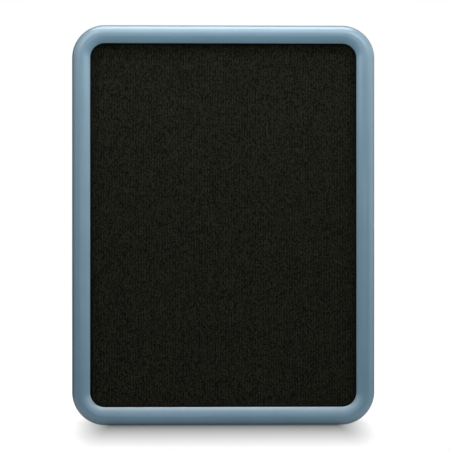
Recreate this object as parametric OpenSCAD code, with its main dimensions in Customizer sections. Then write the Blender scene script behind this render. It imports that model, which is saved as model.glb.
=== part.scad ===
// Enclosed bulletin board for a wall: a shallow tray with a fabric-faced tackboard,
// closed by a hinged door that carries a clear window in a bullnose frame.
// Every piece is drawn lying on its back, with x to the right, y up the board and
// z out from the wall. upright() then stands it against the wall plane.

/* [Outline] */
// Overall width, across the door frame
board_w = 457; // [400:1:900]
// Overall height, across the door frame
board_h = 604; // [420:1:1200]
// Overall depth, from the wall to the crown of the frame
board_depth = 41; // [41:0.5:50]
// Outer corner radius of the door frame
corner_r = 49.5; // [46:0.5:70]

/* [Door frame] */
// Width of the frame's face, from its outer edge to the window opening
band_w = 27.5; // [26:0.5:30]
// Radius of the rolled outer edge
nose_r = 13; // [12:0.5:14]
// Fall of the face from its crown to the window opening
lip_fall = 7; // [6:0.5:8]
// Thickness of the lip over the window
lip_t = 2.5; // [2:0.1:3]
// Wall thickness of the moulded frame
frame_wall = 2.6; // [2.2:0.1:3]

/* [Window] */
// Thickness of the clear pane
pane_t = 2.5; // [2:0.1:3]
// Thickness of the rubber channel around the pane
gasket_t = 1; // [0.8:0.1:1.2]
// Width of the rubber line that shows inside the frame
gasket_show = 2.2; // [0.5:0.1:2.5]
// How far the frame covers the edge of the pane
pane_cover = 7; // [6:0.5:7]

/* [Tray] */
// How far the tray stands in from the frame's outline
tray_inset = 7; // [7:0.1:8]
// Height of the tray's side walls
tray_depth = 17.2; // [17:0.1:18]
// Thickness of the tray's walls and floor
tray_wall = 2.2; // [2:0.1:2.4]

/* [Tackboard] */
// Thickness of the fibre core
core_t = 9.5; // [9:0.1:10]
// Thickness of the fabric
fabric_t = 0.8; // [0.6:0.1:1]
// How far the tackboard runs on behind the frame
board_lap = 6; // [5:0.5:6.5]
// Width of the fabric's flap, folded onto the back of the core
flap_w = 20; // [10:1:20]

/* [Hinge] */
// Length of one knuckle with its share of the gap
knuckle_pitch = 20; // [15:1:30]
// Outer radius of the knuckles
knuckle_r = 2.7; // [2.5:0.05:2.75]
// Radius of the hinge pin
pin_r = 1.4; // [1.2:0.05:1.5]
// Thickness of the hinge leaves
leaf_t = 1.2; // [1:0.1:1.2]

/* [Lock] */
// Radius of the lock barrel
barrel_r = 5.2; // [5:0.1:5.2]
// Radius of the turning plug
plug_r = 3.75; // [3.5:0.05:3.9]
// Reach of the cam, from its axis to the back of its foot
cam_reach = 17.5; // [17.3:0.1:17.8]

/* [Wall fixing] */
// Spacing of the wall screws across the board
fixing_w = 320; // [240:10:340]
// Radius of the wall screw holes
fixing_r = 2.5; // [2:0.1:2.8]

/* [Hidden] */
$fn = 96;

frame_blue = "#6a8698";
black_plastic = "#1c1d1d";
steel = "#b4b6b8";

fit = 0.05;            // play of a piece in its own hole
over = 1;              // how far a cutter runs past what it cuts
half_w = board_w / 2;
half_h = board_h / 2;
mid_x = half_w - corner_r;
mid_y = half_h - corner_r;

// Heights above the wall plane, from the tray to the crown
closing_gap = 1.8;
door_z = tray_depth + closing_gap;
nose_z = board_depth - nose_r;
lip_z = board_depth - lip_fall;
pocket_z = lip_z - lip_t;
pane_top_z = pocket_z - gasket_t;
pane_z = pane_top_z - pane_t;
gasket_z = pane_z - gasket_t;
floor_rib_h = 1.5;
core_z = tray_wall + floor_rib_h;
fabric_z = core_z + core_t;
fabric_top_z = fabric_z + fabric_t;

// The long fall of the face is one arc, level at the crown
fall_run = band_w - nose_r;
fall_r = (fall_run * fall_run + lip_fall * lip_fall) / (2 * lip_fall);

// Places in from the outline
pane_u = band_w - pane_cover;
gasket_u = pane_u - 1.2;
rib_t = 2;
rib_u = gasket_u - rib_t - 0.1;
rib_z = door_z + 3;
ring_u = frame_wall + 0.3;
ring_end_u = band_w - 2.5;
ring_t = 2.5;
ring_lip_u = gasket_u + 0.3;
board_u = band_w - board_lap;
channel_u = (tray_inset + tray_wall + board_u) / 2;

// Moulded posts under the nose, for the screws of the retainer ring and the hinge
post_r = 3.5;
post_u = 12;
post_top_z = board_depth - frame_wall + 0.2;
post_z = door_z + ring_t;
cross_rib_t = 1.8;
cross_rib_z = post_z + 5;
screw_r = 1.25;
screw_head_r = 2.5;
screw_head_h = 1.2;
ring_screw_l = 9;
hinge_screw_l = 8;
hinge_door_screw_l = 10;

// The hinge has an odd number of knuckles, so that the tray's leaf holds both ends of the pin
hinge_margin = 20;
pin_gap = 3;
pin_u = tray_inset - pin_gap;
pin_z = door_z - pin_gap;
knuckle_gap = 0.3;
knuckle_pairs = floor((2 * mid_y - 2 * hinge_margin) / knuckle_pitch / 2 - 0.5);
knuckles = 2 * knuckle_pairs + 1;
hinge_l = knuckles * knuckle_pitch;
leaf_start = pin_gap + 0.2;
tray_leaf_z = 4;
door_leaf_end_u = rib_u + 0.5;
hinge_screw_z = 8;
boss_w = 8;
boss_l = 6;
boss_top_z = 12;
pin_head_r = 2.1;
pin_head_h = 0.8;

// The lock lies across the frame, with its face in the right-hand side wall
lock_z = door_z + 7;
lock_flange_r = 6;
lock_face_u = 0.5;
lock_flange_t = 0.9;
barrel_end_u = 10.2;
lock_seat_u = frame_wall + 0.9;
lock_seat_r = 6.8;
clip_t = 0.8;
clip_flat = 4.6;
cam_u = 10.5;
cam_t = 1.6;
cam_hub_r = 5.5;
cam_half_w = 3.5;
foot_half_w = 3;
foot_t = 1.6;
foot_end_u = rib_u - 0.6;
tail_w = 4;
cam_head_r = 3.2;
cam_head_h = 1;
cam_screw_r = 1.15;
cam_screw_l = 5;
keyway_w = 1.2;
keyway_h = 5.4;
keyway_l = 7;
cam_slot_u = barrel_end_u - 0.1;
cam_slot_end_u = rib_u + 1;
cam_slot_low = -cam_reach - 3;
cam_slot_high = 9;
clip_notch = lock_seat_r + 0.4;
clip_notch_u = lock_seat_u + clip_t + 0.4;

// The keeper is one bent strip: a foot on the tray's floor, a leg and a hook
keeper_t = 1.6;
keeper_u = cam_u + cam_t + 0.5;
keeper_end_u = rib_u + 0.4;
keeper_hook_z = lock_z - cam_reach + 3.1;
keeper_tip = -5;
keeper_leg = 7;
keeper_tail = 27;
keeper_screw_r = 1;
keeper_head_r = 1.9;

// Ribs that carry the core, and pads around the wall screw holes
floor_rib_w = 2;
floor_rib_end = board_u + flap_w + 4;
tray_edge_r = tray_wall - 0.2;
pad_r = 6;
pad_z = tray_wall + 1.8;

// The seal stands just clear of the closed door
seal_t = 1;
seal_u = tray_inset - seal_t;
seal_end_u = tray_inset + tray_wall + seal_t;
seal_r = tray_wall / 2 + seal_t;
seal_round_z = door_z - 0.4 - seal_r;
seal_z = 12;
seal_end = 4;

// Flat-head screws that hold the core from behind
core_screw_r = 1.6;
core_head_r = 3.4;
core_head_h = 1.8;
core_screw_l = 9;
core_screw_sink = 0.15;

function rho(u) = corner_r - u;
function spread(count, span) = [for (i = [0 : count - 1]) span * (i / (count - 1) - 0.5)];
function reach(side) = side % 2 == 0 ? half_w : half_h;

right_side = 0;
top_side = 1;
left_side = 2;
bottom_side = 3;
long_spots = spread(4, 2 * mid_y - 84);
short_spots = spread(3, 2 * mid_x - 98);
hinge_spots = spread(6, hinge_l - 60);
core_spots = [for (x = [-1, 0, 1], y = [-1, 0, 1]) if (x != 0 || y != 0) [x * half_w * 0.66, y * half_h * 0.76]];

// Shared placing and shaping

module upright() { rotate([90, 0, 0]) children(); }

// A rectangle of a swept profile: u runs in from the outline, z out from the wall
module band(u0, u1, z0, z1) {
    translate([rho(u1), z0]) square([u1 - u0, z1 - z0]);
}

// Carries a profile of (rho, z) all round the rounded outline
module sweep_outline() {
    for (side = [0 : 3])
        rotate([0, 0, 90 * side])
            translate([reach(side) - corner_r, 0, 0])
                rotate([90, 0, 0])
                    linear_extrude(height = 2 * (reach(side + 1) - corner_r), center = true)
                        children();
    for (corner = [0 : 3])
        translate([mid_x * (corner % 3 == 0 ? 1 : -1), mid_y * (corner < 2 ? 1 : -1), 0])
            rotate([0, 0, 90 * corner])
                rotate_extrude(angle = 90) children();
}

// A flat plate with the outline's shape, set in from it
module plate(inset, z0, z1) {
    translate([0, 0, z0])
        linear_extrude(height = z1 - z0) {
            square([2 * mid_x, board_h - 2 * inset], center = true);
            square([board_w - 2 * inset, 2 * mid_y], center = true);
            for (x = [-mid_x, mid_x], y = [-mid_y, mid_y])
                translate([x, y]) circle(r = rho(inset));
        }
}

// Places a piece on one side of the outline, u in from it
module on_side(side, along, u) {
    rotate([0, 0, 90 * side]) translate([reach(side) - u, along, 0]) children();
}

// A flat-head screw along +z with its head at z = 0, or with play the hole that it sits in
module flat_screw(head_r, head_h, shank_r, length, play = 0) {
    cylinder(h = head_h, r1 = head_r + play, r2 = shank_r + play);
    cylinder(h = length + play, r = shank_r + play);
}

// Tray and tackboard

module back_tray() color(black_plastic) upright() difference() {
    union() {
        plate(tray_inset + tray_wall - fit, 0, tray_wall);
        sweep_outline() tray_side();
        floor_ribs();
        wall_fixings() cylinder(h = pad_z, r = pad_r);
        for (along = hinge_spots)
            on_side(left_side, along, tray_inset + tray_wall / 2)
                translate([-boss_l, -boss_w / 2, tray_wall / 2])
                    cube([boss_l, boss_w, boss_top_z - tray_wall / 2]);
    }
    wall_fixings() translate([0, 0, -over]) cylinder(h = pad_z + 2 * over, r = fixing_r);
    core_screws(fit);
    hinge_tray_screw_set(fit);
    keeper_screw_set(fit);
}

// The tray's side wall, with a rounded back edge
module tray_side() {
    difference() {
        band(tray_inset, tray_inset + tray_wall, 0, tray_depth);
        difference() {
            band(tray_inset - over, tray_inset + tray_edge_r, -over, tray_edge_r);
            translate([rho(tray_inset + tray_edge_r), tray_edge_r]) circle(r = tray_edge_r);
        }
    }
}

// A grid of low ribs, clear of the fabric's flaps
module floor_ribs() {
    rib_x = half_w - floor_rib_end;
    rib_y = half_h - floor_rib_end;
    for (x = spread(5, 2 * rib_x))
        translate([x - floor_rib_w / 2, -rib_y, tray_wall - fit])
            cube([floor_rib_w, 2 * rib_y, floor_rib_h + fit]);
    for (y = spread(6, 2 * rib_y))
        translate([-rib_x, y - floor_rib_w / 2, tray_wall - fit])
            cube([2 * rib_x, floor_rib_w, floor_rib_h + fit]);
}

module wall_fixings() {
    for (side = [top_side, bottom_side], along = [-fixing_w / 2, fixing_w / 2])
        on_side(side, along, channel_u) children();
}

module core_screws(play = 0) {
    for (spot = core_spots)
        translate([spot.x, spot.y, core_screw_sink])
            flat_screw(core_head_r, core_head_h, core_screw_r, core_screw_l, play);
    // with play, the countersinks open through the back face
    if (play > 0)
        for (spot = core_spots)
            translate([spot.x, spot.y, -over])
                cylinder(h = over + core_screw_sink + fit, r = core_head_r + play);
}

module board_core() color("#8a6f4d") upright() difference() {
    plate(board_u + fabric_t, core_z, fabric_z);
    core_screws(fit);
}

// One cloth over the face and edges of the core, with its flaps folded onto the back
module fabric_cover() color("#1b1b18") upright() difference() {
    plate(board_u, core_z - fabric_t, fabric_top_z);
    plate(board_u + fabric_t, core_z, fabric_z);
    plate(board_u + flap_w, core_z - fabric_t - over, fabric_z - over);
}

module board_screws() color(steel) upright() core_screws();

// A push-on rubber channel over the tray's rim, with a round back; the hinge takes its place on the left
module rim_seal() color("#202020") upright() difference() {
    sweep_outline() difference() {
        union() {
            band(seal_u, seal_end_u, seal_z, seal_round_z);
            intersection() {
                translate([rho(tray_inset + tray_wall / 2), seal_round_z]) circle(r = seal_r);
                band(seal_u, seal_end_u, seal_round_z, door_z);
            }
        }
        band(tray_inset, tray_inset + tray_wall, seal_z - over, tray_depth);
    }
    translate([-half_w, -hinge_l / 2 - seal_end, 0])
        cube([band_w, hinge_l + 2 * seal_end, board_depth]);
}

// Continuous hinge on the left-hand side

// Knuckles of one leaf, along y about the pin, first = 0 for the tray's and 1 for the door's
module knuckle_row(first) {
    for (i = [first : 2 : knuckles - 1])
        translate([pin_u - half_w, -hinge_l / 2 + i * knuckle_pitch + knuckle_gap / 2, pin_z]) children();
}

module knuckle(bore_r) {
    length = knuckle_pitch - knuckle_gap;
    rotate([-90, 0, 0]) difference() {
        cylinder(h = length, r = knuckle_r);
        translate([0, 0, -over]) cylinder(h = length + 2 * over, r = bore_r);
    }
}

module pin_space(r) {
    translate([pin_u - half_w, -hinge_l / 2 - over, pin_z])
        rotate([-90, 0, 0]) cylinder(h = hinge_l + 2 * over, r = r);
}

module hinge_tray_leaf() color(steel) upright() difference() {
    union() {
        translate([tray_inset - leaf_t - half_w, -hinge_l / 2, tray_leaf_z])
            cube([leaf_t, hinge_l, pin_z - leaf_start - tray_leaf_z]);
        knuckle_row(0) {
            knuckle(pin_r + fit / 2);
            translate([pin_gap - leaf_t, 0, -leaf_start - leaf_t])
                cube([leaf_t, knuckle_pitch - knuckle_gap, leaf_start + leaf_t]);
        }
    }
    pin_space(pin_r + fit / 2);
    hinge_tray_screw_set(fit);
}

module hinge_door_leaf() color(steel) upright() difference() {
    union() {
        translate([pin_u + leaf_start - half_w, -hinge_l / 2, door_z - leaf_t])
            cube([door_leaf_end_u - pin_u - leaf_start, hinge_l, leaf_t]);
        knuckle_row(1) {
            knuckle(pin_r + fit);
            translate([0, 0, pin_gap - leaf_t])
                cube([leaf_start + leaf_t, knuckle_pitch - knuckle_gap, leaf_t]);
        }
    }
    pin_space(pin_r + fit);
    hinge_door_screw_set(fit);
}

module hinge_pin() color(steel) upright()
    translate([pin_u - half_w, 0, pin_z]) rotate([-90, 0, 0]) {
        cylinder(h = hinge_l, r = pin_r, center = true);
        for (end = [-1, 1])
            translate([0, 0, end * (hinge_l + pin_head_h) / 2])
                cylinder(h = pin_head_h, r = pin_head_r, center = true);
    }

module hinge_tray_screw_set(play = 0) {
    for (along = hinge_spots)
        translate([tray_inset - leaf_t - half_w, along, hinge_screw_z])
            rotate([0, 90, 0])
                flat_screw(screw_head_r, screw_head_h, screw_r, hinge_screw_l, play);
}

module hinge_door_screw_set(play = 0) {
    for (along = hinge_spots)
        translate([post_u - half_w, along, door_z - leaf_t])
            flat_screw(screw_head_r, screw_head_h, screw_r, hinge_door_screw_l, play);
}

module hinge_tray_screws() color(steel) upright() hinge_tray_screw_set();

module hinge_door_screws() color(steel) upright() hinge_door_screw_set();

// Door: frame, window and the ring that clamps it

// The solid section under the frame's face, taken in from it on all sides
module nose_section(inside, bottom_z) {
    intersection() {
        translate([rho(nose_r), nose_z]) circle(r = nose_r - inside);
        band(0, nose_r, nose_z, board_depth);
    }
    band(inside, nose_r, bottom_z, nose_z);
    intersection() {
        translate([rho(nose_r), board_depth - fall_r]) circle(r = fall_r - inside);
        band(nose_r, band_w, bottom_z, board_depth);
    }
}

module frame_profile() {
    difference() {
        nose_section(0, door_z);
        intersection() {
            nose_section(frame_wall, door_z - over);
            band(0, rib_u, door_z - over, board_depth);
        }
        band(rib_u - over, rib_u + rib_t, door_z - over, rib_z);
        band(rib_u + rib_t, band_w + over, door_z - over, pocket_z);
    }
}

// Places a piece at each screw post of the frame, apart from those under the hinge
module ring_screw_spots() {
    for (along = long_spots) on_side(right_side, along, post_u) children();
    for (side = [top_side, bottom_side], along = short_spots) on_side(side, along, post_u) children();
}

module hinge_post_spots() {
    for (along = hinge_spots) on_side(left_side, along, post_u) children();
}

// A round post and the thin cross rib that ties it to the walls of the frame
module frame_post() {
    translate([0, 0, post_z]) cylinder(h = post_top_z - post_z, r = post_r);
    translate([post_u - corner_r, 0, 0])
        rotate([90, 0, 0])
            linear_extrude(height = cross_rib_t, center = true)
                intersection() {
                    nose_section(frame_wall / 2, cross_rib_z);
                    band(0, rib_u + rib_t / 2, cross_rib_z, board_depth);
                }
}

module door_frame() color(frame_blue) upright() difference() {
    union() {
        sweep_outline() frame_profile();
        ring_screw_spots() frame_post();
        hinge_post_spots() frame_post();
        // a flat seat inside the wall, for the lock's clip
        lock_axis() translate([0, 0, frame_wall / 2])
            cylinder(h = lock_seat_u - frame_wall / 2, r = lock_seat_r);
    }
    ring_screw_set(fit);
    hinge_door_screw_set(fit);
    // the lock's hole, and the sinking for its flange
    lock_axis() translate([0, 0, -over])
        cylinder(h = lock_seat_u + 2 * over, r = barrel_r + 2 * fit);
    lock_axis() translate([0, 0, -over])
        cylinder(h = over + lock_face_u + lock_flange_t, r = lock_flange_r + 2 * fit);
}

module window_pane() color("#e8f0f2", 0.25) upright() plate(pane_u, pane_z, pane_top_z);

module window_gasket() color("#101010") upright() sweep_outline() union() {
    band(gasket_u, pane_u, gasket_z, pocket_z);
    band(pane_u - fit, band_w + gasket_show, pane_top_z, pocket_z);
    band(pane_u - fit, ring_end_u, gasket_z, pane_z);
}

module retainer_ring() color(black_plastic) upright() difference() {
    sweep_outline() union() {
        band(ring_u, ring_end_u, door_z, door_z + ring_t);
        band(ring_lip_u, ring_end_u, door_z + ring_t - fit, gasket_z);
    }
    ring_screw_set(fit);
    hinge_door_screw_set(fit);
    // a slot for the sweep of the lock's cam, a hollow under the barrel and a notch for its clip
    translate([half_w - cam_slot_end_u, cam_slot_low, door_z - over])
        cube([cam_slot_end_u - cam_slot_u, cam_slot_high - cam_slot_low, ring_t + 2 * over]);
    lock_axis() cylinder(h = cam_u, r = barrel_r + 0.5);
    translate([half_w - clip_notch_u, -clip_notch, door_z - over])
        cube([clip_notch_u, 2 * clip_notch, ring_t + 2 * over]);
}

module ring_screw_set(play = 0) {
    ring_screw_spots() translate([0, 0, door_z])
        flat_screw(screw_head_r, screw_head_h, screw_r, ring_screw_l, play);
    if (play > 0)
        ring_screw_spots() translate([0, 0, door_z - over])
            cylinder(h = over + fit, r = screw_head_r + play);
}

module retainer_screws() color(steel) upright() ring_screw_set();

// Side lock: a keyed plug turns a cam whose bent foot goes behind the keeper's hook

// Draws along the lock's axis: z runs in from the outline, x out from the wall and y up the board
module lock_axis() {
    translate([half_w, 0, lock_z]) rotate([0, -90, 0]) children();
}

module lock_barrel() color(steel) upright() lock_axis() difference() {
    union() {
        translate([0, 0, lock_face_u]) cylinder(h = lock_flange_t, r = lock_flange_r);
        translate([0, 0, lock_face_u]) cylinder(h = barrel_end_u - lock_face_u, r = barrel_r);
    }
    translate([0, 0, lock_face_u - over])
        cylinder(h = barrel_end_u - lock_face_u + 2 * over, r = plug_r + fit);
    // flats that the spring clip slides over
    for (side = [-1, 1])
        translate([side * (clip_flat + barrel_r) - barrel_r, -barrel_r, lock_seat_u])
            cube([2 * barrel_r, 2 * barrel_r, clip_t + 2 * fit]);
}

module lock_clip() color(steel) upright() lock_axis()
    translate([0, 0, lock_seat_u + fit]) linear_extrude(height = clip_t) difference() {
        union() {
            circle(r = lock_flange_r);
            translate([-lock_flange_r, -lock_flange_r]) square([2 * lock_flange_r, lock_flange_r]);
        }
        translate([-clip_flat - fit, -lock_flange_r - over])
            square([2 * (clip_flat + fit), lock_flange_r + over]);
        intersection() {
            circle(r = barrel_r + fit);
            square([2 * (clip_flat + fit), 4 * barrel_r], center = true);
        }
    }

module lock_plug() color("#c9b88a") upright() lock_axis() difference() {
    union() {
        translate([0, 0, lock_face_u]) cylinder(h = cam_u - lock_face_u - fit, r = plug_r);
        translate([-tail_w / 2, -tail_w / 2, cam_u - over])
            cube([tail_w, tail_w, cam_t + over]);
    }
    translate([-keyway_w / 2, -keyway_h / 2, lock_face_u - over])
        cube([keyway_w, keyway_h, keyway_l + over]);
    translate([0, 0, cam_u + cam_t - cam_screw_l])
        cylinder(h = cam_screw_l + over, r = cam_screw_r + fit);
}

module lock_cam() color(steel) upright() lock_axis() difference() {
    union() {
        translate([0, 0, cam_u]) cylinder(h = cam_t, r = cam_hub_r);
        translate([-cam_half_w, -cam_reach, cam_u]) cube([2 * cam_half_w, cam_reach, cam_t]);
        translate([-foot_half_w, -cam_reach, cam_u])
            cube([2 * foot_half_w, foot_t, foot_end_u - cam_u]);
    }
    translate([-tail_w / 2 - fit, -tail_w / 2 - fit, cam_u - over])
        cube([tail_w + 2 * fit, tail_w + 2 * fit, cam_t + 2 * over]);
}

module cam_screw() color(steel) upright() lock_axis() translate([0, 0, cam_u + cam_t]) {
    cylinder(h = cam_head_h, r = cam_head_r);
    translate([0, 0, fit - cam_screw_l]) cylinder(h = cam_screw_l, r = cam_screw_r);
}

module lock_keeper() color(steel) upright() difference() {
    translate([half_w - keeper_end_u, 0, 0])
        rotate([90, 0, 90])
            linear_extrude(height = keeper_end_u - keeper_u) keeper_side();
    keeper_screw_set(fit);
}

// Side view of the bent strip, with y up the board and z out from the wall
module keeper_side() {
    translate([keeper_leg - keeper_t, tray_wall])
        square([keeper_tail - keeper_leg + keeper_t, keeper_t]);
    translate([keeper_leg - keeper_t, tray_wall])
        square([keeper_t, keeper_hook_z + keeper_t - tray_wall]);
    translate([keeper_tip, keeper_hook_z])
        square([keeper_leg - keeper_tip, keeper_t]);
}

module keeper_screw_set(play = 0) {
    head_h = 1;
    for (along = [keeper_tail - 5, keeper_tail - 14])
        translate([half_w - (keeper_u + keeper_end_u) / 2, along, tray_wall + keeper_t])
            rotate([180, 0, 0])
                flat_screw(keeper_head_r, head_h, keeper_screw_r, tray_wall + keeper_t - 0.4, play);
}

module keeper_screws() color(steel) upright() keeper_screw_set();

back_tray();
board_core();
fabric_cover();
board_screws();
hinge_tray_leaf();
hinge_pin();
hinge_tray_screws();
lock_keeper();
keeper_screws();
rim_seal();
door_frame();
window_pane();
window_gasket();
retainer_ring();
retainer_screws();
hinge_door_leaf();
hinge_door_screws();
lock_barrel();
lock_clip();
lock_plug();
lock_cam();
cam_screw();
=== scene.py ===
import math

import bmesh
import bpy
import numpy as np
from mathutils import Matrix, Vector


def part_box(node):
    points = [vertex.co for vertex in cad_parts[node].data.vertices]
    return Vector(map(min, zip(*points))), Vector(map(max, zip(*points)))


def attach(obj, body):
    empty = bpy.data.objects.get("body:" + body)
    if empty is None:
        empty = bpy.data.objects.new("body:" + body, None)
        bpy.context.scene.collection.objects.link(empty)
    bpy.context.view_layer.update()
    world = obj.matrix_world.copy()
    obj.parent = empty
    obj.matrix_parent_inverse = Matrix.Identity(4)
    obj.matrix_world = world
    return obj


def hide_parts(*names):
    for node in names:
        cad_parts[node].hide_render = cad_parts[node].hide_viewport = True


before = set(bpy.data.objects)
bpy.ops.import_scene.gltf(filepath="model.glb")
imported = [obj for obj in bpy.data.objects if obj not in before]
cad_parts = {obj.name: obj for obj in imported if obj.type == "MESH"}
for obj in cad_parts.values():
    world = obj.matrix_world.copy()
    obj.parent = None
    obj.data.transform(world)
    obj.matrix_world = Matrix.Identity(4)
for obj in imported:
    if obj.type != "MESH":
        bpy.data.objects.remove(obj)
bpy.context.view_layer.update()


# Back tray
# The shallow box that hangs on the wall and carries everything else, injection moulded in black
# plastic with a fine grain. Four wall screws pass through the pads in its floor.

class Wire:
    """One output among a material's nodes. Sums on it add Math nodes, and node() adds any other."""

    def __init__(self, tree, socket=None):
        self.tree = tree
        self.socket = socket

    def node(self, kind, settings=None, inputs=None, output=0):
        """Adds a node of a kind: its settings first, then the values or wires of its sockets."""
        made = self.tree.nodes.new("ShaderNode" + kind)
        for name, value in (settings or {}).items():
            setattr(made, name, value)
        for name, value in (inputs or {}).items():
            if isinstance(value, Wire):
                self.tree.links.new(value.socket, made.inputs[name])
            else:
                made.inputs[name].default_value = value
        return Wire(self.tree, made.outputs[output] if len(made.outputs) else None)

    def also(self, output):
        """Another output of the node that this wire comes from."""
        return Wire(self.tree, self.socket.node.outputs[output])

    def sums(self, operation, first, second):
        """One Math node on two values or wires."""
        return self.node("Math", {"operation": operation}, {0: first, 1: second})

    def __add__(self, other):
        return self.sums("ADD", self, other)

    def __sub__(self, other):
        return self.sums("SUBTRACT", self, other)

    def __rsub__(self, other):
        return self.sums("SUBTRACT", other, self)

    def __mul__(self, other):
        return self.sums("MULTIPLY", self, other)

    def __pow__(self, other):
        return self.sums("POWER", self, other)

    __radd__ = __add__
    __rmul__ = __mul__

    def __abs__(self):
        return self.node("Math", {"operation": "ABSOLUTE"}, {0: self})

    def least(self, low):
        """This wire, but never under a value."""
        return self.sums("MAXIMUM", self, low)

    def most(self, high):
        """This wire, but never over a value."""
        return self.sums("MINIMUM", self, high)

    def between(self, low, high, first=0.0, last=1.0):
        """Runs smoothly from first to last as this wire goes from low to high."""
        return self.node("MapRange", {"interpolation_type": "SMOOTHSTEP"}, {
            "Value": self, "From Min": low, "From Max": high, "To Min": first, "To Max": last})

    def blend(self, first, last):
        """A colour between two, by this wire."""
        return self.node("Mix", {"data_type": "RGBA"}, {0: self, 6: (*first, 1), 7: (*last, 1)}, 2)

    def stretched(self, x, y, z):
        """These coordinates times a factor along each axis."""
        return self.node("VectorMath", {"operation": "MULTIPLY"}, {0: self, 1: (x, y, z)})

    def dot(self, x, y, z):
        """How far this direction runs along another."""
        return self.node("VectorMath", {"operation": "DOT_PRODUCT"}, {0: self, 1: (x, y, z)}, "Value")

    def noise(self, size, detail=2.0, roughness=0.5):
        """Cloudy noise with features of about this size, in metres."""
        return self.node("TexNoise", {}, {
            "Vector": self, "Scale": 1 / size, "Detail": detail, "Roughness": roughness})

    def bump(self, height, strength=1.0):
        """A normal from this wire as a relief of that height, in metres."""
        return self.node("Bump", {}, {"Strength": strength, "Distance": height, "Height": self})

    def surface(self, inputs):
        """Ends a material in one Principled surface with these sockets."""
        self.node("OutputMaterial", {}, {"Surface": self.node("BsdfPrincipled", {}, inputs)})


def new_finish(name):
    """An empty material, and a wire that holds the piece's own coordinates in metres."""
    material = bpy.data.materials.new(name)
    material.use_nodes = True
    material.node_tree.nodes.clear()
    return material, Wire(material.node_tree).node("TexCoord", {}, {}, "Object")


def moulded_black():
    """Black plastic: a fine moulded grain, with clouds of rubbed and dusty places."""
    material, place = new_finish("moulded_black")
    grain = place.noise(0.0007, 3.0)
    rubbed = place.noise(0.06, 5.0, 0.6).between(0.48, 0.72)
    place.surface({
        "Base Color": rubbed.blend((0.0136, 0.0138, 0.0143), (0.0178, 0.0178, 0.0183)),
        "Roughness": 0.54 - 0.06 * rubbed + 0.08 * grain,
        "Normal": grain.bump(0.00008, 0.7)})
    return material


def dress(node, material):
    """Gives a carried-over piece its finish."""
    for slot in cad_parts[node].material_slots:
        slot.material = material


black_plastic = moulded_black()
dress("back_tray", black_plastic)


# Tackboard core
# A slab of pressed wood fibre, soft enough to take pins. It lies on the low ribs of the tray's
# floor, wrapped in its fabric, and screws from behind hold it there.

def pressed_fibre():
    """Tan fibre board: matted strands, light and dark, with a felted surface."""
    material, place = new_finish("pressed_fibre")
    strand = place.stretched(1.0, 3.0, 1.0).noise(0.004, 6.0, 0.7)
    speck = place.noise(0.0009, 2.0)
    tone = (0.7 * strand + 0.3 * speck).between(0.3, 0.7)
    place.surface({
        "Base Color": tone.blend((0.16, 0.095, 0.045), (0.42, 0.29, 0.16)),
        "Roughness": 0.88 - 0.1 * speck,
        "Normal": (strand + speck).bump(0.0003, 0.8)})
    return material


dress("board_core", pressed_fibre())


# Tack fabric
# One cloth of black ribbed loop fabric, drawn over the face of the core and round its edges, with
# its flaps glued to the back. The ribs run up the board, broken into short uneven tufts.

FABRIC_CORNER_R = 0.028
FLAP_W = 0.02
RIB_PITCH = 0.00404
RIB_COLUMNS = 4
RIB_HEIGHT = 0.0004
RIB_WANDER = 0.15
TUFT_LENGTH = 0.0075
TUFT_LOW = 0.15
FACE_SHARE = 0.6
LOOPS_PER_RIB = 4
LOOP_LENGTH = 0.0022
ROW_STEP = 0.0032
EDGE_ROLL = 0.0016
ROLL_STEPS = 4
CALM_W = 0.003
CORNER_COLUMNS = 5
CORNER_TURN = 18
FLAP_STEPS = (0.35, 0.7, 1.0)
CLOTH_SEED = 7
CRISP_ANGLE = 40

fabric_low, fabric_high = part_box("fabric_cover")


def outward_mesh(name, points, faces):
    """A mesh with all its faces turned outward."""
    mesh = bpy.data.meshes.new(name)
    mesh.from_pydata(points, [], faces)
    shaped = bmesh.new()
    shaped.from_mesh(mesh)
    bmesh.ops.recalc_face_normals(shaped, faces=shaped.faces)
    shaped.to_mesh(mesh)
    shaped.free()
    return mesh


def make_piece(name, points, faces, material, body, slot, nodes, sharp=CRISP_ANGLE):
    """A mesh piece that rides on a body and stands for nodes; edges over sharp degrees stay crisp."""
    mesh = outward_mesh(name, points, faces)
    mesh.shade_smooth()
    mesh.set_sharp_from_angle(angle=math.radians(sharp))
    mesh.materials.append(material)
    piece = bpy.data.objects.new(name, mesh)
    bpy.context.scene.collection.objects.link(piece)
    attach(piece, body)
    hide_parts(*nodes)
    return piece


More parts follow.
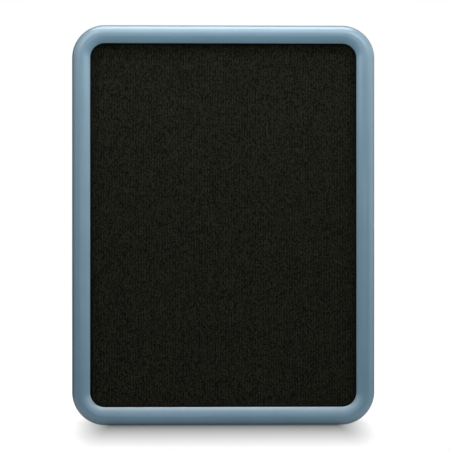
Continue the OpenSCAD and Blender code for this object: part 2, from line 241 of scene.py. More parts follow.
def ribbed_cloth():
    """Points and faces of the cloth: the ribbed face, then its rolled edge, sides and flaps."""
    rng = np.random.default_rng(CLOTH_SEED)
    half_x, half_z = fabric_high.x, fabric_high.z
    straight_x, straight_z = half_x - FABRIC_CORNER_R, half_z - FABRIC_CORNER_R
    thick = fabric_high.y - fabric_low.y

    # columns stand on the ribs, and crowd at the sides to follow the round corners
    ribs = int(2 * half_x / RIB_PITCH)
    on_ribs = (np.arange(ribs * RIB_COLUMNS + 1) / RIB_COLUMNS - ribs / 2) * RIB_PITCH
    bend = np.radians(np.linspace(0, CORNER_TURN, CORNER_COLUMNS))
    crowd = half_x - FABRIC_CORNER_R * (1 - np.cos(bend))
    inner = on_ribs[np.abs(on_ribs) < crowd.min() - RIB_PITCH / (2 * RIB_COLUMNS)]
    columns = np.concatenate([-crowd, inner, crowd[::-1]])
    past = np.maximum(np.abs(columns) - straight_x, 0)
    reach = straight_z + np.sqrt(np.maximum(FABRIC_CORNER_R ** 2 - past ** 2, 0))
    rows = int(2 * half_z / ROW_STEP)
    x = np.repeat(columns[:, None], rows + 1, axis=1)
    z = reach[:, None] * np.linspace(-1, 1, rows + 1)[None, :]

    # each rib is a line of tufts of uneven height, and wanders a little
    rib = np.clip(((columns + half_x) / RIB_PITCH).astype(int), 0, ribs)[:, None]
    knots = int(2 * half_z / TUFT_LENGTH) + 2
    heights = rng.uniform(TUFT_LOW, 1.0, (ribs + 1, knots))
    wander = rng.uniform(-RIB_WANDER, RIB_WANDER, (ribs + 1, knots))
    along = (z + half_z) / TUFT_LENGTH
    low = np.clip(np.floor(along).astype(int), 0, knots - 2)
    share = along - low
    share = share * share * (3 - 2 * share)
    height = heights[rib, low] * (1 - share) + heights[rib, low + 1] * share
    drift = wander[rib, low] * (1 - share) + wander[rib, low + 1] * share
    crest = 0.5 - 0.5 * np.cos(2 * np.pi * (x / RIB_PITCH + ribs / 2 + drift))
    edge = np.minimum(half_x - np.abs(x), reach[:, None] - np.abs(z))
    calm = np.clip((edge - EDGE_ROLL) / CALM_W, 0, 1)
    y = fabric_low.y - RIB_HEIGHT * calm * (crest * height - FACE_SHARE)

    # the face draws in by the roll at its rim, along the way out from the nearest corner centre
    out_x = x - np.clip(x, -straight_x, straight_x)
    out_z = z - np.clip(z, -straight_z, straight_z)
    far = np.maximum(np.hypot(out_x, out_z), 1e-9)
    points = np.stack([x, y, z], axis=-1).reshape(-1, 3)
    outward = np.stack([out_x / far, 0 * far, out_z / far], axis=-1).reshape(-1, 3)
    tall, wide = rows + 1, len(columns)
    loop = np.array([c * tall for c in range(wide)] + [(wide - 1) * tall + r for r in range(1, tall)]
                    + [c * tall + rows for c in range(wide - 2, -1, -1)] + list(range(rows - 1, 0, -1)))
    rim, away = points[loop].copy(), outward[loop]
    points[loop] -= EDGE_ROLL * away
    faces = [(c * tall + r, (c + 1) * tall + r, (c + 1) * tall + r + 1, c * tall + r + 1)
             for c in range(wide - 1) for r in range(rows)]

    # rings round the rim: over the roll, down the side and in under the core
    rolls = [math.radians(90 * k / ROLL_STEPS) for k in range(1, ROLL_STEPS + 1)]
    rings = [(EDGE_ROLL * (1 - math.sin(a)), EDGE_ROLL * (1 - math.cos(a))) for a in rolls]
    rings += [(0.0, thick / 2), (0.0, thick - EDGE_ROLL / 2), (EDGE_ROLL / 2, thick)]
    rings += [(FLAP_W * part, thick) for part in FLAP_STEPS]
    count = len(loop)
    layers, first = [points], loop
    for ring, (inward, depth) in enumerate(rings):
        layer = rim - inward * away
        layer[:, 1] = fabric_low.y + depth
        layers.append(layer)
        last = len(points) + ring * count + np.arange(count)
        ahead = np.roll(np.arange(count), -1)
        faces += np.stack([first, last, last[ahead], first[ahead]], axis=-1).tolist()
        first = last
    return np.concatenate(layers).tolist(), faces


def loop_fabric():
    """Near-black loop pile with a warm cast: rows of uneven loops up the ribs, each of fine yarn."""
    material, place = new_finish("loop_fabric")
    x = place.node("SeparateXYZ", {}, {0: place}, "X")
    y, z = x.also("Y"), x.also("Z")
    phase = x * (2 * math.pi / RIB_PITCH)
    rib = 0.5 - 0.5 * phase.node("Math", {"operation": "COSINE"}, {0: phase})
    cell = place.node("CombineXYZ", {}, {
        "X": (x + y) * (LOOPS_PER_RIB / RIB_PITCH), "Y": (z + y) * (1 / LOOP_LENGTH)})
    sway = place.noise(0.003, 2.0).also("Color")
    cell = cell.node("VectorMath", {"operation": "ADD"}, {0: cell, 1: sway})
    from_loop = cell.node("TexVoronoi", {"voronoi_dimensions": "2D"}, {
        "Vector": cell, "Scale": 1.0, "Randomness": 0.8}, "Distance")
    shade = cell.node("SeparateColor", {}, {0: from_loop.also("Color")}, "Red").between(0.2, 0.8)
    loop = from_loop.between(0.1, 0.75, 1.0, 0.0)
    yarn = place.stretched(1.0, 1.0, 0.3).noise(0.0003, 2.0)
    patch = place.noise(0.07, 3.0)
    # The loop factor paints the tone darker towards the edge of each loop: painted shade in the gaps
    # between the loops.
    tone = 1.05 * shade * (0.5 + 0.5 * loop) * (0.7 + 0.6 * yarn) + 0.36 * rib + 0.05 * patch - 0.26
    place.surface({
        "Base Color": tone.blend((0.0, 0.0, 0.0), (0.0276, 0.0283, 0.0165)),
        "Roughness": 0.95 - 0.1 * yarn,
        "Specular IOR Level": 0.15,
        "Sheen Weight": 0.06,
        "Sheen Roughness": 0.6,
        "Normal": (loop + 0.4 * yarn).bump(0.0004, 0.9)})
    return material


cloth = make_piece("ribbed_fabric", *ribbed_cloth(), loop_fabric(), "wall_tray", "tack_fabric",
                   ["fabric_cover"])


# Core screws
# Eight flat-head screws in zinc-plated steel, with a cross recess. They pass through the tray's
# floor from behind, their heads just under its back face, and bite into the core.

CORE_HEAD_R, CORE_HEAD_H = 0.0034, 0.0018
CORE_SHANK_R, CORE_SCREW_L = 0.0016, 0.009
SCREW_SIDES = 40
SCREW_CRISP_ANGLE = 30
THREAD_TURNS_LEAST = 3

# shares of the head's radius, of its height and of the shank's radius
HEAD_FACE_R, CROSS_REACH, CROSS_HALF_W = 0.97, 0.62, 0.17
HEAD_EDGE_H, CROSS_DEPTH = 0.06, 0.75
THREAD_PITCH, THREAD_ROOT_R = 0.9, 0.78

# shares of the cross at its floor, of its depth at its point, and of a turn of thread
CROSS_FLOOR, CROSS_POINT = 0.8, 1.1
THREAD_FLANK = 0.45


def zinc_plate():
    """Bright zinc on steel: cloudy crystal tone, fine drawn lines and a duller bloom."""
    material, place = new_finish("zinc_plate")
    bloom = place.noise(0.012, 5.0, 0.65).between(0.45, 0.75)
    grain = place.stretched(4.0, 4.0, 0.25).noise(0.0016, 3.0)
    place.surface({
        "Base Color": bloom.blend((0.62, 0.63, 0.64), (0.5, 0.505, 0.51)),
        "Metallic": 0.7 - 0.2 * bloom,
        "Roughness": 0.26 + 0.16 * bloom + 0.08 * grain,
        "Normal": grain.bump(0.00003, 0.5)})
    return material


def cross_screw(head_r, head_h, shank_r, length):
    """A flat-head screw along +z with its face at z = 0: a sunk cross, a cone, a thread and a point."""
    arm_r, arm_w, sunk = head_r * CROSS_REACH, head_r * CROSS_HALF_W, head_h * CROSS_DEPTH
    cross = []
    for quarter in range(4):
        c, s = math.cos(quarter * math.pi / 2), math.sin(quarter * math.pi / 2)
        for along, side in ((arm_r, -arm_w), (arm_r, arm_w), (arm_w, arm_w)):
            cross.append((along * c - side * s, along * s + side * c))
    rings = [(head_r * HEAD_FACE_R, 0.0), (head_r, head_h * HEAD_EDGE_H), (shank_r, head_h)]
    turns = max(THREAD_TURNS_LEAST, int((length - head_h) / (THREAD_PITCH * shank_r)))
    pitch = (length - head_h) / (turns + 1)
    for turn in range(turns):
        start = head_h + turn * pitch
        rings += [(shank_r * THREAD_ROOT_R, start + THREAD_FLANK * pitch), (shank_r, start + pitch)]
    count = len(cross)
    points = [(x, y, 0.0) for x, y in cross]
    points += [(CROSS_FLOOR * x, CROSS_FLOOR * y, sunk) for x, y in cross]
    points.append((0.0, 0.0, sunk * CROSS_POINT))
    first = len(points)
    angles = [2 * math.pi * k / SCREW_SIDES for k in range(SCREW_SIDES)]
    for r, z in rings:
        points += [(r * math.cos(a), r * math.sin(a), z) for a in angles]
    points.append((0.0, 0.0, length))
    faces = []
    for i in range(count):
        j = (i + 1) % count
        faces += [(i, j, count + j, count + i), (count + i, count + j, 2 * count)]

    # the flat of the head is sewn from the cross to the rim, by angle
    bearings = [math.atan2(y, x) % (2 * math.pi) for x, y in cross]
    start = bearings.index(min(bearings))
    near = [bearings[(start + k) % count] for k in range(count)]
    near.append(near[0] + 2 * math.pi)
    at, rim = 0, 0
    while at < count or rim < SCREW_SIDES:
        here, edge = (start + at) % count, first + rim % SCREW_SIDES
        if rim == SCREW_SIDES or (at < count and near[at + 1] <= 2 * math.pi * (rim + 1) / SCREW_SIDES):
            faces.append((here, (here + 1) % count, edge))
            at += 1
        else:
            faces.append((here, first + (rim + 1) % SCREW_SIDES, edge))
            rim += 1
    for ring in range(len(rings)):
        a, b = first + ring * SCREW_SIDES, first + (ring + 1) * SCREW_SIDES
        for k in range(SCREW_SIDES):
            j = (k + 1) % SCREW_SIDES
            tip = (len(points) - 1,)
            faces.append((a + k, a + j) + ((b + j, b + k) if ring < len(rings) - 1 else tip))
    return points, faces


def screw_set(name, node, spots, way, screw, body):
    """One screw at each spot, driven along a way: 'in' to the wall, 'out' from it or 'right'."""
    driven = {"in": lambda x, y, z: (x, z, -y),
              "out": lambda x, y, z: (x, -z, y),
              "right": lambda x, y, z: (z, x, y)}[way]
    one, sides = cross_screw(*screw)
    points, faces = [], []
    for spot in spots:
        first = len(points)
        points += [Vector(spot) + Vector(driven(*p)) for p in one]
        faces += [[first + i for i in side] for side in sides]
    make_piece(name, points, faces, plated, body, "plated_steel", [node],
               sharp=SCREW_CRISP_ANGLE)


def spread(count, span):
    """Evenly spaced places over a span about 0."""
    return [span * (i / (count - 1) - 0.5) for i in range(count)]


plated = zinc_plate()
core_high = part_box("board_screws")[1]
core_spots = [(x * (core_high.x - CORE_HEAD_R), core_high.y, z * (core_high.z - CORE_HEAD_R))
              for x in (-1, 0, 1) for z in (-1, 0, 1) if x or z]
screw_set("core_cross_screws", "board_screws", core_spots, "out",
          (CORE_HEAD_R, CORE_HEAD_H, CORE_SHANK_R, CORE_SCREW_L), "wall_tray")


# Continuous hinge
# Two rolled steel leaves, zinc plated, on one headed pin. The tray's leaf lies on the outside of its
# left wall and the door's leaf under the frame, each held by six countersunk screws.

HINGE_SPOTS = spread(count=6, span=0.4)
SCREW_HEAD_R, SCREW_HEAD_H, SCREW_SHANK_R = 0.0025, 0.0012, 0.00125
TRAY_SCREW_L, DOOR_SCREW_L = 0.008, 0.01

for part in ("hinge_tray_leaf", "hinge_door_leaf", "hinge_pin"):
    dress(part, plated)
small_screw = (SCREW_HEAD_R, SCREW_HEAD_H, SCREW_SHANK_R)
tray_low, tray_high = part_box("hinge_tray_screws")
screw_set("hinge_tray_cross_screws", "hinge_tray_screws",
          [(tray_low.x, (tray_low.y + tray_high.y) / 2, z) for z in HINGE_SPOTS], "right",
          (*small_screw, TRAY_SCREW_L), "wall_tray")
door_low, door_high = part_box("hinge_door_screws")
hinge_post_x = (door_low.x + door_high.x) / 2
screw_set("hinge_door_cross_screws", "hinge_door_screws",
          [(hinge_post_x, door_high.y, z) for z in HINGE_SPOTS], "out",
          (*small_screw, DOOR_SCREW_L), "door")


# Lock keeper
# A strip of plated steel, bent into a foot, a leg and a hook, and screwed to the tray's floor on the
# right. The foot of the lock's cam turns in behind its hook.

KEEPER_HEAD_H, KEEPER_SHANK_R = 0.001, 0.001

dress("lock_keeper", plated)
keeper_low, keeper_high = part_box("keeper_screws")
keeper_head_r = (keeper_high.x - keeper_low.x) / 2
keeper_spots = [((keeper_low.x + keeper_high.x) / 2, keeper_low.y, z)
                for z in (keeper_low.z + keeper_head_r, keeper_high.z - keeper_head_r)]
screw_set("keeper_cross_screws", "keeper_screws", keeper_spots, "in",
          (keeper_head_r, KEEPER_HEAD_H, KEEPER_SHANK_R, keeper_high.y - keeper_low.y), "wall_tray")


# Rim seal
# An extruded channel of black rubber, pushed over the rim of the tray with its round back towards
# the door. It runs all round but for the hinge, whose leaf closes that side.

CORNER_R = 0.0495
CORNER_STEPS = 24
SIDE_STEP = 0.04
FILLET_STEPS = 5
SEAL_U, SEAL_END_U = 0.006, 0.0102
RIM_U, RIM_END_U = 0.007, 0.0092
RIM_Z = 0.0172
SEAL_Z = 0.012
SEAL_ROUND_Z = 0.0165
SEAL_STEPS = 16
SEAL_EDGE_R, CHANNEL_EDGE_R = 0.0004, 0.0003
SEAL_GAP = 0.468

outline_low, outline_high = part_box("door_frame")
mid_x, mid_z = outline_high.x - CORNER_R, outline_high.z - CORNER_R


def rounded(corners):
    """A closed section from corners (u, z, radius), with an arc at each corner that has a radius."""
    section = []
    for i, (u, z, r) in enumerate(corners):
        at = Vector((u, z))
        if r == 0:
            section.append(at)
            continue
        back = (Vector(corners[i - 1][:2]) - at).normalized()
        ahead = (Vector(corners[(i + 1) % len(corners)][:2]) - at).normalized()
        half = back.angle(ahead) / 2
        centre = at + (back + ahead).normalized() * r / math.sin(half)
        start = at + back * r / math.tan(half) - centre
        swing = start.angle_signed(at + ahead * r / math.tan(half) - centre)
        for k in range(FILLET_STEPS + 1):
            a = math.atan2(start.y, start.x) - swing * k / FILLET_STEPS
            section.append(centre + r * Vector((math.cos(a), math.sin(a))))
    return section


def arc(u, z, r, first, last, steps):
    """Corners along an arc about (u, z), from one angle to another in degrees."""
    angles = [math.radians(first + (last - first) * k / steps) for k in range(steps + 1)]
    return [(u + r * math.cos(a), z + r * math.sin(a), 0) for a in angles]


def outline(gap):
    """Stations round the outline: a point on the line of corner centres, and the way out from it."""
    centres = [(-mid_x, -gap / 2), (-mid_x, -mid_z), (mid_x, -mid_z), (mid_x, mid_z), (-mid_x, mid_z),
               (-mid_x, gap / 2)]
    stations = []
    for side in range(5):
        (x0, z0), (x1, z1) = centres[side], centres[side + 1]
        way = math.pi + side * math.pi / 2
        steps = max(1, round(math.dist((x0, z0), (x1, z1)) / SIDE_STEP))
        stations += [(x0 + (x1 - x0) * k / steps, z0 + (z1 - z0) * k / steps, way) for k in range(steps)]
        if side < 4:
            stations += [(x1, z1, way + k / CORNER_STEPS * math.pi / 2) for k in range(CORNER_STEPS)]
    return stations + [(*centres[-1], math.pi)] if gap else stations


def across(section, x, z, way):
    """A section of (u in from the outline, z out from the wall) set up at one station."""
    return [(x + (CORNER_R - u) * math.cos(way), -out, z + (CORNER_R - u) * math.sin(way))
            for u, out in section]


def sweep(section, gap=0.0):
    """Carries a section round the outline, closed on itself or with ends either side of a gap."""
    stations = outline(gap)
    points = [point for station in stations for point in across(section, *station)]
    count = len(section)
    faces = []
    for station in range(len(stations) - (1 if gap else 0)):
        a, b = station * count, (station + 1) % len(stations) * count
        faces += [(a + i, a + (i + 1) % count, b + (i + 1) % count, b + i) for i in range(count)]
    if gap:
        faces += [range(count), range(len(points) - count, len(points))]
    return points, faces


def soft_rubber():
    """Black extruded rubber: a dull bloom in clouds over a very fine skin."""
    material, place = new_finish("soft_rubber")
    bloom = place.noise(0.02, 4.0, 0.6).between(0.45, 0.75)
    place.surface({
        "Base Color": bloom.blend((0.0012, 0.0014, 0.0016), (0.0032, 0.0035, 0.0038)),
        "Roughness": 0.66 + 0.16 * bloom,
        "Specular IOR Level": 0.1,
        "Normal": place.noise(0.0006).bump(0.00005, 0.5)})
    return material


rubber = soft_rubber()
seal_r = (SEAL_END_U - SEAL_U) / 2
seal_section = rounded(
    [(SEAL_U, SEAL_Z, SEAL_EDGE_R)]
    + arc(SEAL_U + seal_r, SEAL_ROUND_Z, seal_r, 180, 0, SEAL_STEPS)
    + [(SEAL_END_U, SEAL_Z, SEAL_EDGE_R), (RIM_END_U, SEAL_Z, CHANNEL_EDGE_R), (RIM_END_U, RIM_Z, 0),
       (RIM_U, RIM_Z, 0), (RIM_U, SEAL_Z, CHANNEL_EDGE_R)])
make_piece("rim_rubber", *sweep(seal_section, SEAL_GAP), rubber, "wall_tray", "black_rubber",
           ["rim_seal"])


# Door frame
# One plastic moulding in satin slate blue, with a rolled outer edge that falls away to the window.
# It is hollow behind, with ribbed screw posts and a rib that locates the window.

BAND_W = 0.0275
NOSE_R = 0.013
LIP_FALL = 0.007
LIP_T = 0.0025
LIP_EDGE_R = 0.0009
WALL = 0.0026
RIB_U, RIB_END_U = 0.0172, 0.0192
RIB_Z = 0.022
POST_R = 0.0035
POST_U = 0.012
POST_Z = 0.0215
CROSS_RIB_T = 0.0018
CROSS_RIB_Z = 0.0265
LONG_SPOTS = spread(count=4, span=0.421)
SHORT_SPOTS = spread(count=3, span=0.26)
LOCK_Z = 0.026
LOCK_SEAT_R, LOCK_SEAT_U = 0.0068, 0.0035
LOCK_HOLE_R, LOCK_HOLE_U = 0.0053, 0.005
LOCK_SINK_R, LOCK_SINK_U = 0.0061, 0.0014
SKIRT_EDGE_R = 0.0006
RIB_EDGE_R, RIB_ROOT_R = 0.0004, 0.0003
PILOT_DEPTH = 0.007
CLEAR_CUT = 0.001
NOSE_STEPS, FALL_STEPS = 26, 18
HOLLOW_NOSE_STEPS, HOLLOW_FALL_STEPS = 12, 5
ROUND_SIDES = 48
OUT, INWARD = (0, -1, 0), (-1, 0, 0)

door_z, crown_z = -outline_high.y, -outline_low.y
nose_z, lip_z = crown_z - NOSE_R, crown_z - LIP_FALL
pocket_z = lip_z - LIP_T
fall_run = BAND_W - NOSE_R
fall_r = (fall_run ** 2 + LIP_FALL ** 2) / (2 * LIP_FALL)
fall_z = crown_z - fall_r


def fall_angle(u, inside):
    """Where the fall's arc, taken in by some thickness, passes a place in from the outline."""
    return math.degrees(math.acos((u - NOSE_R) / (fall_r - inside)))


def satin_slate():
    """Slate-blue plastic, moulded satin: a soft gloss over an even, very fine grain and faint clouds."""
    material, place = new_finish("satin_slate")
    grain = place.noise(0.0011)
    tone = place.noise(0.09, 4.0, 0.55).between(0.3, 0.7)
    place.surface({
        "Base Color": tone.blend((0.12, 0.219, 0.293), (0.131, 0.236, 0.313)),
        "Roughness": 0.28 + 0.05 * tone + 0.04 * grain,
        "IOR": 1.75,
        "Specular IOR Level": 0.75,
        "Coat Weight": 0.3,
        "Coat Roughness": 0.2,
        "Normal": grain.bump(0.00004, 0.35)})
    return material


def turned(stations, place, axis):
    """A turned solid from (distance, radius) stations along an axis through a place."""
    axis = Vector(axis)
    side = axis.orthogonal().normalized()
    other = axis.cross(side)
    angles = [2 * math.pi * k / ROUND_SIDES for k in range(ROUND_SIDES)]
    points = [Vector(place) + axis * d + r * (side * math.cos(a) + other * math.sin(a))
              for d, r in stations for a in angles]
    faces = [range(ROUND_SIDES), range(len(points) - ROUND_SIDES, len(points))]
    for ring in range(len(stations) - 1):
        a, b = ring * ROUND_SIDES, (ring + 1) * ROUND_SIDES
        faces += [(a + k, a + (k + 1) % ROUND_SIDES, b + (k + 1) % ROUND_SIDES, b + k)
                  for k in range(ROUND_SIDES)]
    return points, faces


def slab(section, station, thick):
    """A flat web of a section across the outline at one station."""
    x, z, way = station
    points = []
    for side in (-thick / 2, thick / 2):
        points += across(section, x - side * math.sin(way), z + side * math.cos(way), way)
    count = len(section)
    faces = [range(count), range(count, 2 * count)]
    faces += [(i, (i + 1) % count, count + (i + 1) % count, count + i) for i in range(count)]
    return points, faces


def combine(piece, operation, solids):
    """Joins solids to a piece or cuts them out of it."""
    points, faces = [], []
    for more_points, more_faces in solids:
        faces += [[len(points) + i for i in face] for face in more_faces]
        points += more_points
    other = bpy.data.objects.new("shaping", outward_mesh("shaping", points, faces))
    bpy.context.scene.collection.objects.link(other)
    step = piece.modifiers.new("shaping", "BOOLEAN")
    step.object, step.operation, step.solver = other, operation, "EXACT"
    bpy.context.view_layer.update()
    result = bpy.data.meshes.new_from_object(piece.evaluated_get(bpy.context.evaluated_depsgraph_get()))
    piece.modifiers.clear()
    piece.data = result
    bpy.data.objects.remove(other)


frame_section = rounded(
    [(0, door_z, SKIRT_EDGE_R)]
    + arc(NOSE_R, nose_z, NOSE_R, 180, 90, NOSE_STEPS)
    + arc(NOSE_R, fall_z, fall_r, 90, fall_angle(BAND_W, 0), FALL_STEPS)[1:-1]
    + [(BAND_W, lip_z, LIP_EDGE_R), (BAND_W, pocket_z, RIB_EDGE_R), (RIB_END_U, pocket_z, RIB_ROOT_R),
       (RIB_END_U, RIB_Z, RIB_EDGE_R), (RIB_U, RIB_Z, RIB_EDGE_R)]
    + arc(NOSE_R, fall_z, fall_r - WALL, fall_angle(RIB_U, WALL), 90, HOLLOW_FALL_STEPS)
    + arc(NOSE_R, nose_z, NOSE_R - WALL, 90, 180, HOLLOW_NOSE_STEPS)[1:]
    + [(WALL, door_z, SKIRT_EDGE_R)])
moulding = make_piece("frame_moulding", *sweep(frame_section), satin_slate(), "door", "frame_paint",
                      ["door_frame"])

web_end_u = (RIB_U + RIB_END_U) / 2
web_edge = arc(NOSE_R, nose_z, NOSE_R - WALL / 2, 180, 90, HOLLOW_NOSE_STEPS)
web_edge += arc(NOSE_R, fall_z, fall_r - WALL / 2, 90, fall_angle(web_end_u, WALL / 2),
                HOLLOW_FALL_STEPS)[1:]
web_section = [(u, z) for u, z, _ in web_edge]
web_section += [(web_end_u, CROSS_RIB_Z), (WALL / 2, CROSS_RIB_Z)]
right, up, left, down = (k * math.pi / 2 for k in range(4))
post_stations = [(mid_x, z, right) for z in LONG_SPOTS] + [(-mid_x, z, left) for z in HINGE_SPOTS]
post_stations += [(x, mid_z, up) for x in SHORT_SPOTS] + [(x, -mid_z, down) for x in SHORT_SPOTS]
post_feet = [across([(POST_U, POST_Z)], *station)[0] for station in post_stations]
post_height = crown_z - WALL / 2 - POST_Z
post = [(0, POST_R), (post_height, POST_R)]
pilot = [(-CLEAR_CUT, SCREW_SHANK_R), (PILOT_DEPTH, SCREW_SHANK_R)]
lock_middle = (outline_high.x, -LOCK_Z, 0)
lock_seat = [(WALL / 2, LOCK_SEAT_R), (LOCK_SEAT_U, LOCK_SEAT_R)]
lock_hole = [(-2 * CLEAR_CUT, LOCK_SINK_R), (LOCK_SINK_U, LOCK_SINK_R),
             (LOCK_SINK_U, LOCK_HOLE_R), (LOCK_HOLE_U, LOCK_HOLE_R)]
combine(moulding, "UNION", [slab(web_section, station, CROSS_RIB_T) for station in post_stations])
combine(moulding, "UNION", [turned(post, foot, OUT) for foot in post_feet])
combine(moulding, "UNION", [turned(lock_seat, lock_middle, INWARD)])
combine(moulding, "DIFFERENCE", [turned(pilot, foot, OUT) for foot in post_feet])
combine(moulding, "DIFFERENCE", [turned(lock_hole, lock_middle, INWARD)])
moulding.data.shade_smooth()
moulding.data.set_sharp_from_angle(angle=math.radians(CRISP_ANGLE))


# Window gasket
# A channel of black rubber round the edge of the pane. Its front lip shows as a thin black line
# inside the frame, pressed under the frame's lip.

GASKET_U = 0.0193
PANE_U = 0.0205
GASKET_T = 0.001
GASKET_SHOW_U = 0.0297
GASKET_BACK_U = 0.025
GASKET_EDGE_R, GASKET_LIP_R, GASKET_HEEL_R = 0.0003, 0.0006, 0.0002

pane_low, pane_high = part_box("window_pane")
pane_z, pane_top_z = -pane_high.y, -pane_low.y
gasket_z = pane_z - GASKET_T
gasket_section = rounded([
    (GASKET_U, gasket_z, GASKET_EDGE_R), (GASKET_BACK_U, gasket_z, GASKET_EDGE_R),
    (GASKET_BACK_U, pane_z, GASKET_EDGE_R), (PANE_U, pane_z, 0), (PANE_U, pane_top_z, 0),
    (GASKET_SHOW_U, pane_top_z, GASKET_HEEL_R), (GASKET_SHOW_U, pocket_z, GASKET_LIP_R),
    (GASKET_U, pocket_z, GASKET_EDGE_R)])
make_piece("gasket_rubber", *sweep(gasket_section), rubber, "door", "black_rubber", ["window_gasket"])


# Window pane
# A cut sheet of clear acrylic, polished on both sides. The gasket holds it by its edges, which stay
# out of sight.

HEAD_ON_GLOSS = 0.04


def clear_acrylic():
    """Clear sheet: what is behind shows through, under a polished gloss with the faintest smears."""
    material, place = new_finish("clear_acrylic")
    smear = place.stretched(1.0, 1.0, 0.4).noise(0.05, 4.0, 0.6).between(0.45, 0.75)
    gloss = place.node("BsdfGlossy", {}, {"Color": (1, 1, 1, 1), "Roughness": 0.02 + 0.05 * smear})
    through = place.node("BsdfTransparent", {}, {"Color": (0.985, 0.992, 0.99, 1)})
    glance = place.node("LayerWeight", {}, {"Blend": 0.5}, "Facing")
    gloss_share = HEAD_ON_GLOSS + (1 - HEAD_ON_GLOSS) * glance ** 5
    place.node("OutputMaterial", {}, {
        "Surface": place.node("MixShader", {}, {0: gloss_share, 1: through, 2: gloss})})
    return material


dress("window_pane", clear_acrylic())


# Retainer ring
# A flat ring moulded in the tray's black plastic. It closes the hollow back of the frame, and its
# raised lip clamps the gasket and pane; ten screws drive into posts of the frame.

RING_SCREW_L = 0.009

dress("retainer_ring", black_plastic)
ring_spots = [(x, -door_z, z) for x, _, z in post_feet if x > hinge_post_x + POST_R]
screw_set("ring_cross_screws", "retainer_screws", ring_spots, "out",
          (*small_screw, RING_SCREW_L), "door")


# Cam lock
# A small keyed lock, nickel plated, set in the right side of the frame. A spring clip holds its
# barrel from inside, and the brass plug turns a plated cam held by one screw.

def nickel_plate():
    """Bright nickel on a turned barrel: a warm sheen with fine turning marks."""
    material, place = new_finish("nickel_plate")
    ring = place.stretched(1.0, 0.1, 0.1).noise(0.0004)
    haze = place.noise(0.003, 4.0)
    place.surface({
        "Base Color": haze.blend((0.6, 0.58, 0.54), (0.7, 0.68, 0.64)),
        "Metallic": 0.85 - 0.2 * haze,
        "Roughness": 0.16 + 0.1 * haze + 0.05 * ring,
        "Normal": ring.bump(0.00002, 0.4)})
    return material


def turned_brass():
    """Turned brass, a little dulled by handling."""
    material, place = new_finish("turned_brass")
    haze = place.noise(0.002, 4.0)
    ring = place.stretched(1.0, 0.1, 0.1).noise(0.0005)
    place.surface({
        "Base Color": haze.blend((0.7, 0.53, 0.25), (0.52, 0.38, 0.17)),
        "Metallic": 0.85 - 0.2 * haze,
        "Roughness": 0.24 + 0.14 * haze,
        "Normal": ring.bump(0.00002, 0.4)})
    return material


dress("lock_barrel", nickel_plate())
dress("lock_plug", turned_brass())
for part in ("lock_clip", "lock_cam", "cam_screw"):
    dress(part, plated)


# Floor
# A plain white sweep that the board stands on, with a grey paint that takes the lamps' real shadows
# and a white glow where it is looked at. The soft shadow at the foot of the board is painted: the glow
# is dimmed near the board and runs out to pure white a short way off. Gloss shows less of it the
# farther it lies from the board.

FLOOR_FRONT, FLOOR_REACH = -0.275, 4.0
FLOOR_TONE = 0.17
# Sizes of the painted shadow round the board's foot, and how dark it is at the foot.
SHADOW_HALF_W = 0.172
SHADOW_FRONT, SHADOW_BACK, SHADOW_SIDE = 0.27, 0.12, 0.06
SHADOW_CURVE, SHADOW_LIFT = 0.8, 0.085
GLOSS_SIDE, GLOSS_FRONT = 0.9, 0.27
GLOSS_LOSS, GLOSS_END = 0.3, 0.8

floor_finish, floor_place = new_finish("white_sweep")
floor_x = floor_place.node("SeparateXYZ", {}, {0: floor_place}, "X")
floor_y = floor_x.also("Y")
# Painted shadow: the floor's glow is dimmed near the board's foot, over its front, back and ends.
aside = (abs(floor_x) - SHADOW_HALF_W).least(0) * (1 / SHADOW_SIDE)
in_front = (-crown_z - floor_y).least(0) * (1 / SHADOW_FRONT)
at_back = floor_y.least(0) * (1 / SHADOW_BACK)
from_board = (aside ** 2 + in_front ** 2 + at_back ** 2) ** 0.5
painted_shadow_glow = SHADOW_LIFT + (1 - SHADOW_LIFT) * from_board.most(1.0) ** SHADOW_CURVE
by_eye = floor_place.node("LightPath", {}, {}, "Is Camera Ray")
by_gloss = by_eye.also("Is Glossy Ray")
looked_at = by_eye.least(by_gloss).least(by_eye.also("Is Transmission Ray"))
paint = floor_place.node("BsdfDiffuse", {}, {"Color": (FLOOR_TONE, FLOOR_TONE, FLOOR_TONE, 1)})
glow = floor_place.node("Emission", {}, {"Strength": painted_shadow_glow * looked_at})
shown = floor_place.node("AddShader", {}, {0: paint, 1: glow})
far_off = ((floor_x * (1 / GLOSS_SIDE)) ** 2 + (floor_y * (1 / GLOSS_FRONT)) ** 2) ** 0.5
fade = by_gloss * far_off.between(0.0, GLOSS_END, GLOSS_LOSS, 1.0)
clear = floor_place.node("BsdfTransparent")
faded = floor_place.node("MixShader", {}, {0: fade, 1: shown, 2: clear})
floor_place.node("OutputMaterial", {}, {"Surface": faded})

floor_corners = [(-FLOOR_REACH, FLOOR_FRONT, 0), (FLOOR_REACH, FLOOR_FRONT, 0),
                 (FLOOR_REACH, FLOOR_REACH, 0), (-FLOOR_REACH, FLOOR_REACH, 0)]
floor_mesh = bpy.data.meshes.new("floor")
floor_mesh.from_pydata(floor_corners, [], [(0, 1, 2, 3)])
floor_mesh.materials.append(floor_finish)
floor = bpy.data.objects.new("floor", floor_mesh)
floor.location.z = outline_low.z
bpy.context.scene.collection.objects.link(floor)


# Studio light
# Softboxes over and round the board, of which gloss shows those overhead and at the front corners. In
# gloss, the room is white overhead and dark behind the board and the camera, so the pane stays clear.

AMBIENT = 0.15
ROOM_LOW, ROOM_HIGH = 0.1, 1.05
CAMERA_DARK = (-0.98, -0.7)
BACK_DARK, BACK_WAY = (0.3, 0.7), (-0.2, 1, 0)
EYE_LEVEL, UP_WAY = (-0.13, 0.22), (0.04, 0, 1)


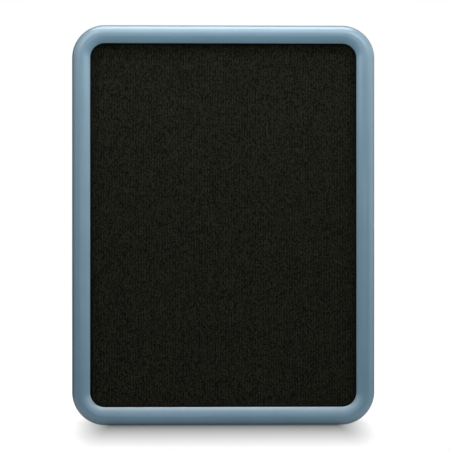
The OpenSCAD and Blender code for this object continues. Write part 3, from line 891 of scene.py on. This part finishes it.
def softbox(name, place, facing, size, watts, in_gloss=True):
    """A rectangular lamp that shines one way; glossy faces may be screened from it."""
    lamp = bpy.data.lights.new(name, "AREA")
    lamp.shape = "RECTANGLE"
    lamp.size, lamp.size_y = size
    lamp.energy = watts
    box = bpy.data.objects.new(name, lamp)
    box.location = place
    box.rotation_euler = Vector(facing).to_track_quat("-Z", "Y").to_euler()
    box.visible_camera = False
    box.visible_glossy = in_gloss
    bpy.context.scene.collection.objects.link(box)


softbox("overhead", place=(-0.01, -0.07, 0.62), facing=(0, 0.1, -1), size=(0.66, 0.26), watts=1.85)
softbox("top_strip", place=(0.0, -0.30, 0.44), facing=(0, 0.26, -0.14), size=(0.8, 0.22), watts=0.75)
softbox("left_front", place=(-0.5, -0.65, 0.45), facing=(0.5, 0.65, -0.3), size=(0.35, 0.5), watts=0.3)
softbox("right_front", place=(0.5, -0.65, 0.45), facing=(-0.5, 0.65, -0.3), size=(0.5, 0.5), watts=0.45)
softbox("front", place=(0, -1.6, 0.08), facing=(0, 1, -0.05), size=(0.9, 0.6), watts=15.4,
        in_gloss=False)
softbox("right_side", place=(2.0, -0.2, 0.3), facing=(-1, 0.1, -0.15), size=(1.0, 1.8), watts=20,
        in_gloss=False)
softbox("behind", place=(-0.6, 1.7, 1.0), facing=(0.35, -1, -0.6), size=(1.6, 1.2), watts=16,
        in_gloss=False)

world = bpy.data.worlds.new("studio")
bpy.context.scene.world = world
world.use_nodes = True
world.node_tree.nodes.clear()
air = Wire(world.node_tree)
direction = air.node("TexCoord", {}, {}, "Generated")
off_camera = direction.dot(0, 1, 0).between(*CAMERA_DARK)
off_back = direction.dot(*BACK_WAY).between(*BACK_DARK, 1.0, ROOM_LOW)
upward = direction.dot(*UP_WAY).between(*EYE_LEVEL, ROOM_LOW, ROOM_HIGH)
room = off_camera * off_back * upward
sky_seen = air.node("LightPath", {}, {}, "Is Camera Ray")
sky_in_gloss = sky_seen.also("Is Glossy Ray")
level = sky_seen + (1 - sky_seen) * (sky_in_gloss * room + (1 - sky_in_gloss) * AMBIENT)
sky = air.node("Background", {}, {"Color": (1, 1, 1, 1), "Strength": level})
air.node("OutputWorld", {}, {"Surface": sky})


# Camera
# Square on to the board from a little left of its middle, and at the distance of a long lens, so that
# the rails look even all round.

IMAGE_PX = 450
SENSOR = 36.0
PX_PER_M = 661.0
BOARD_PX = (223.45, 225.13)
CAMERA_AWAY = 2.3
CAMERA_LEFT = 0.04

camera = bpy.data.cameras.new("camera")
camera.sensor_width = SENSOR
camera.lens = PX_PER_M * CAMERA_AWAY / IMAGE_PX * SENSOR
eye = bpy.data.objects.new("camera", camera)
middle_px = IMAGE_PX / 2
aim = Vector(((middle_px - BOARD_PX[0]) / PX_PER_M, -nose_z, (BOARD_PX[1] - middle_px) / PX_PER_M))
eye.location = (-CAMERA_LEFT, -nose_z - CAMERA_AWAY, aim.z)
eye.rotation_euler = (aim - eye.location).to_track_quat("-Z", "Y").to_euler()
bpy.context.scene.collection.objects.link(eye)
bpy.context.scene.camera = eye
bpy.context.scene.view_settings.view_transform = "Standard"
